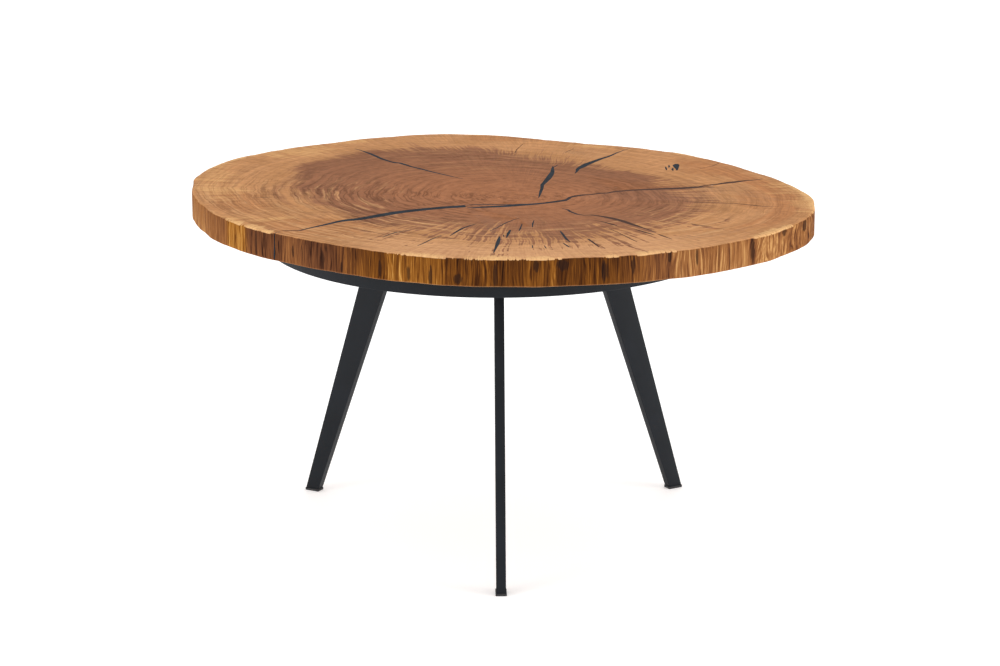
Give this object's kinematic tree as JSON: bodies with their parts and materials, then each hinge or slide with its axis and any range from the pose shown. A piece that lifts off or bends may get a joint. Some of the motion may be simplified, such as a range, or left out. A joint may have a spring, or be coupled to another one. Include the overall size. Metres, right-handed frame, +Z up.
{
  "type": "round coffee table",
  "caption": "Low round table: a live-edge wood slice with resin-filled checks on a welded black steel base with a ring apron and tapered, outward-leaning flat legs.",
  "frame": {"origin": "on the floor, under the middle of the table's box; the hoop, the boss and the legs are centred 5 mm from it, towards -X", "axes": "+Z up; the front leg stands towards -Y and the other two stand 120 degrees from it; +X is the slab's longest direction"},
  "size_m": [0.7916, 0.7103, 0.443],
  "materials": {
    "slab_wood": "oiled end grain with a satin sheen",
    "dark_resin": "dark poured resin, sanded flush, satin gloss",
    "black_steel": "fine-textured black powder coat",
    "pad_plastic": "matte black",
    "insert_brass": "plain machined",
    "screw_steel": "zinc plated"
  },
  "bodies": {
    "root": {"slab_top": "slab_wood", "resin_long_check": "dark_resin", "resin_rear_left_check": "dark_resin", "resin_rear_wide_checks": "dark_resin", "resin_front_checks": "dark_resin", "resin_right_checks": "dark_resin", "resin_knot": "dark_resin", "resin_hairlines": "dark_resin", "resin_edge_check": "dark_resin", "apron_ring": "black_steel", "centre_boss": "black_steel", "rail_front": "black_steel", "rail_rear_right": "black_steel", "rail_rear_left": "black_steel", "leg_front": "black_steel", "leg_rear_right": "black_steel", "leg_rear_left": "black_steel", "leg_plate_front": "black_steel", "leg_plate_rear_right": "black_steel", "leg_plate_rear_left": "black_steel", "ring_tab_rear": "black_steel", "ring_tab_front_left": "black_steel", "ring_tab_front_right": "black_steel", "foot_pad_front": "pad_plastic", "foot_pad_rear_right": "pad_plastic", "foot_pad_rear_left": "pad_plastic", "threaded_inserts": "insert_brass", "slab_screws": "screw_steel", "screw_washers": "screw_steel"}
  },
  "joints": []
}
